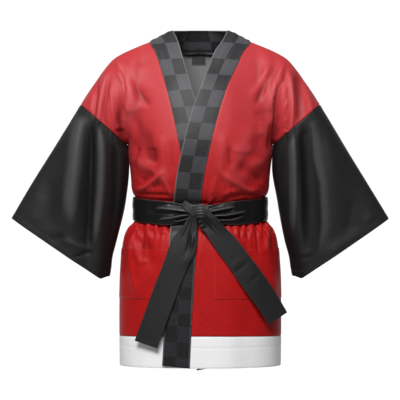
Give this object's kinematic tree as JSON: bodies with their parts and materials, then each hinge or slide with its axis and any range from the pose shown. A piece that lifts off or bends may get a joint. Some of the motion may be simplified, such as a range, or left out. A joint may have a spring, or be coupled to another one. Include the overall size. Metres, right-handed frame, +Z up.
{
  "type": "happi coat",
  "caption": "Open-fronted hip-length wrap coat with drop shoulders, wide sleeves, a full collar band, patch pockets, a contrast hem and a knotted sash.",
  "frame": {"origin": "on the shoulder line, midway between the two sides of the neck, where the wearer's shoulders carry the coat", "axes": "+X towards the wearer's left, -Y out of the front, +Z up"},
  "size_m": [0.8905, 0.274, 0.7922],
  "materials": {
    "red_cotton": "satin",
    "black_cotton": "satin",
    "white_cotton": "matte",
    "check_cotton": "satin",
    "label_weave": "satin"
  },
  "bodies": {
    "root": {"front_left": "red_cotton", "front_right": "red_cotton", "back": "red_cotton", "hem_band_left": "white_cotton", "hem_band_right": "white_cotton", "hem_band_back": "white_cotton", "sleeve_left": "black_cotton", "sleeve_right": "black_cotton", "collar_left": "check_cotton", "collar_right": "check_cotton", "neck_label": "label_weave", "pocket_left": "red_cotton", "pocket_right": "red_cotton", "sash_wrap": "black_cotton", "sash_knot": "black_cotton", "sash_end_left": "black_cotton", "sash_end_right": "black_cotton"}
  },
  "joints": []
}
